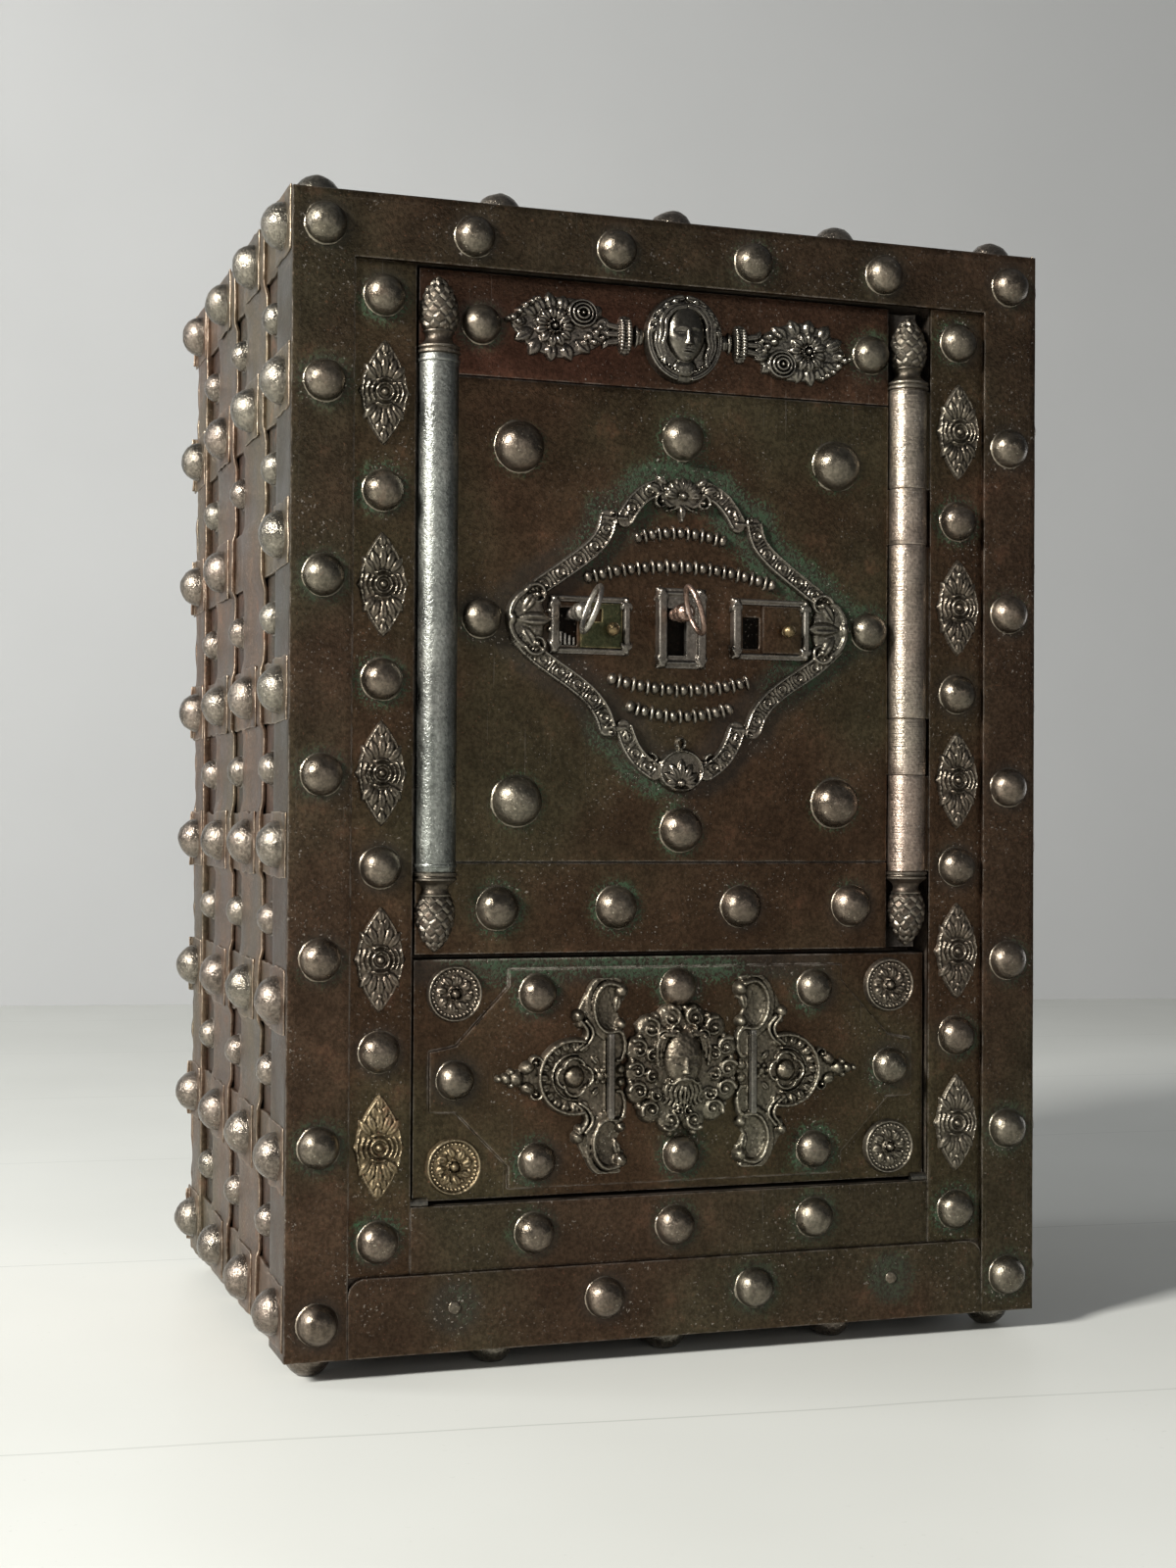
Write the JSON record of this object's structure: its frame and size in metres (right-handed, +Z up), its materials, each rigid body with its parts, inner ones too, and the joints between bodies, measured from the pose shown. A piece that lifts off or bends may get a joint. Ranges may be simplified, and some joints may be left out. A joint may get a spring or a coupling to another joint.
{
  "type": "hobnail safe",
  "caption": "Upright iron safe over oak with studded bands, a hinged door between two columns, a drop-down lower flap, keys, sliding keyhole covers and locking bolts.",
  "frame": {"origin": "centre of the overall box at the height of the feet", "axes": "+Z up, +Y towards the back, the door faces -Y, +X to the right seen from the front"},
  "size_m": [0.667, 0.5415, 0.9155],
  "materials": {
    "side_plates": "worn forged iron, dark brown patina",
    "end_plates": "worn forged iron, dark brown patina",
    "back_plate": "worn forged iron, dark brown patina",
    "oak_sides": "rough old oak",
    "oak_ends": "rough old oak",
    "oak_back": "rough old oak",
    "inner_lining": "thin sheet iron, dull",
    "shelf": "worn forged iron, dark brown patina",
    "stiles": "worn forged iron, dark brown patina",
    "top_rail": "worn forged iron, dark brown patina",
    "bottom_rail": "worn forged iron, dark brown patina",
    "bottom_strip": "worn forged iron, dark brown patina",
    "rosette_strips": "worn forged iron, dark brown patina",
    "jamb_left": "worn forged iron, dark brown patina",
    "jamb_right": "worn forged iron, dark brown patina",
    "lintel": "worn forged iron, dark brown patina",
    "sill": "worn forged iron, dark brown patina",
    "side_cross_bands": "worn forged iron, dark brown patina",
    "side_upright_bands": "worn forged iron, dark brown patina",
    "back_cross_bands": "worn forged iron, dark brown patina",
    "back_upright_bands": "worn forged iron, dark brown patina",
    "top_bands": "worn forged iron, dark brown patina",
    "band_studs": "forged iron worn bright on the crowns",
    "window_studs": "worn forged iron, dark brown patina",
    "foot_studs": "worn forged iron, dark brown patina",
    "frame_studs": "forged iron worn bright on the crowns",
    "rosettes": "cast relief, dark with bright high points",
    "frame_knuckles": "coppery bronze, brushed round",
    "hinge_pin": "worn steel",
    "hinge_finials": "cast relief",
    "door_leaf": "worn forged iron, dark brown patina",
    "frieze_plate": "reddish brown patina",
    "main_panel": "brown patina with green traces",
    "mid_band": "worn forged iron, dark brown patina",
    "door_studs": "forged iron worn bright on the crowns",
    "left_column": "hammered, silvery",
    "left_finials": "cast relief",
    "door_knuckles": "coppery bronze, brushed round",
    "frieze_mask": "cast relief",
    "frieze_garlands": "cast relief",
    "shield_border": "cast relief, worn bright",
    "lock_frames": "worn bright on the edges",
    "lock_case": "dull sheet iron",
    "curtain_left": "dark oiled steel",
    "curtain_mid": "dark oiled steel",
    "curtain_right": "dark oiled steel",
    "key_left": "worn steel",
    "key_mid": "copper coloured, tarnished",
    "bolts_side_left": "bare steel",
    "bolts_side_right": "bare steel",
    "bolt_top": "bare steel",
    "cover_left": "dark plate with a small brass knob",
    "cover_right": "dark plate with a small brass knob",
    "flap_leaf": "worn forged iron, dark brown patina",
    "flap_panel": "brown patina with green traces",
    "flap_studs": "forged iron worn bright on the crowns",
    "flap_medallions": "cast relief",
    "flap_mask": "cast relief",
    "flap_brackets": "cast relief",
    "flap_bolt": "bare steel"
  },
  "bodies": {
    "chest": {"side_plates": "side_plates", "end_plates": "end_plates", "back_plate": "back_plate", "oak_sides": "oak_sides", "oak_ends": "oak_ends", "oak_back": "oak_back", "inner_lining": "inner_lining", "shelf": "shelf", "stiles": "stiles", "top_rail": "top_rail", "bottom_rail": "bottom_rail", "bottom_strip": "bottom_strip", "rosette_strips": "rosette_strips", "jamb_left": "jamb_left", "jamb_right": "jamb_right", "lintel": "lintel", "sill": "sill", "side_cross_bands": "side_cross_bands", "side_upright_bands": "side_upright_bands", "back_cross_bands": "back_cross_bands", "back_upright_bands": "back_upright_bands", "top_bands": "top_bands", "band_studs": "band_studs", "window_studs": "window_studs", "foot_studs": "foot_studs", "frame_studs": "frame_studs", "rosettes": "rosettes", "frame_knuckles": "frame_knuckles", "hinge_pin": "hinge_pin", "hinge_finials": "hinge_finials"},
    "door": {"door_leaf": "door_leaf", "frieze_plate": "frieze_plate", "main_panel": "main_panel", "mid_band": "mid_band", "door_studs": "door_studs", "left_column": "left_column", "left_finials": "left_finials", "door_knuckles": "door_knuckles", "frieze_mask": "frieze_mask", "frieze_garlands": "frieze_garlands", "shield_border": "shield_border", "lock_frames": "lock_frames", "lock_case": "lock_case"},
    "flap": {"flap_leaf": "flap_leaf", "flap_panel": "flap_panel", "flap_studs": "flap_studs", "flap_medallions": "flap_medallions", "flap_mask": "flap_mask", "flap_brackets": "flap_brackets"},
    "left_curtain": {"curtain_left": "curtain_left"},
    "middle_curtain": {"curtain_mid": "curtain_mid"},
    "right_curtain": {"curtain_right": "curtain_right"},
    "left_key": {"key_left": "key_left"},
    "middle_key": {"key_mid": "key_mid"},
    "left_bolt": {"bolts_side_left": "bolts_side_left"},
    "right_bolt": {"bolts_side_right": "bolts_side_right"},
    "top_bolt": {"bolt_top": "bolt_top"},
    "left_cover": {"cover_left": "cover_left"},
    "right_cover": {"cover_right": "cover_right"},
    "flap_catch": {"flap_bolt": "flap_bolt"}
  },
  "joints": [
    {"name": "door_swing", "type": "hinge", "parent": "chest", "child": "door", "pos_m": [0.2, -0.20475, 0.58], "axis": [0, 0, 1], "range_deg": [0, 110]},
    {"name": "flap_fall", "type": "hinge", "parent": "chest", "child": "flap", "pos_m": [0, -0.20475, 0.13], "axis": [1, 0, 0], "range_deg": [0, 88]},
    {"name": "flap_catch_slide", "type": "slide", "parent": "chest", "child": "flap_catch", "axis": [0, 0, -1], "range_m": [0, 0.016]},
    {"name": "left_lock_turn", "type": "hinge", "parent": "door", "child": "left_curtain", "pos_m": [-0.092, -0.18475, 0.583], "axis": [0, 1, 0], "range_deg": [0, 180]},
    {"name": "middle_lock_turn", "type": "hinge", "parent": "door", "child": "middle_curtain", "pos_m": [-0.008, -0.18475, 0.585], "axis": [0, 1, 0], "range_deg": [0, 180]},
    {"name": "right_lock_turn", "type": "hinge", "parent": "door", "child": "right_curtain", "pos_m": [0.061, -0.18475, 0.58], "axis": [0, 1, 0], "range_deg": [0, 180]},
    {"name": "left_bolt_throw", "type": "slide", "parent": "door", "child": "left_bolt", "axis": [-1, 0, 0], "range_m": [0, 0.0181]},
    {"name": "top_bolt_throw", "type": "slide", "parent": "door", "child": "top_bolt", "axis": [0, 0, 1], "range_m": [0, 0.0181]},
    {"name": "right_bolt_throw", "type": "slide", "parent": "door", "child": "right_bolt", "axis": [1, 0, 0], "range_m": [0, 0.0181]},
    {"name": "left_key_draw", "type": "slide", "parent": "left_curtain", "child": "left_key", "axis": [0, -1, 0], "range_m": [0, 0.11]},
    {"name": "middle_key_draw", "type": "slide", "parent": "middle_curtain", "child": "middle_key", "axis": [0, -1, 0], "range_m": [0, 0.11]},
    {"name": "left_cover_slide", "type": "slide", "parent": "door", "child": "left_cover", "axis": [-1, 0, 0], "range_m": [0, 0.017]},
    {"name": "right_cover_slide", "type": "slide", "parent": "door", "child": "right_cover", "axis": [-1, 0, 0], "range_m": [0, 0.017]}
  ],
  "couplings": [
    {"joint": "left_bolt_throw", "follows": "left_lock_turn", "m_per_rad": 0.0057296},
    {"joint": "top_bolt_throw", "follows": "middle_lock_turn", "m_per_rad": 0.0057296},
    {"joint": "right_bolt_throw", "follows": "right_lock_turn", "m_per_rad": 0.0057296}
  ]
}
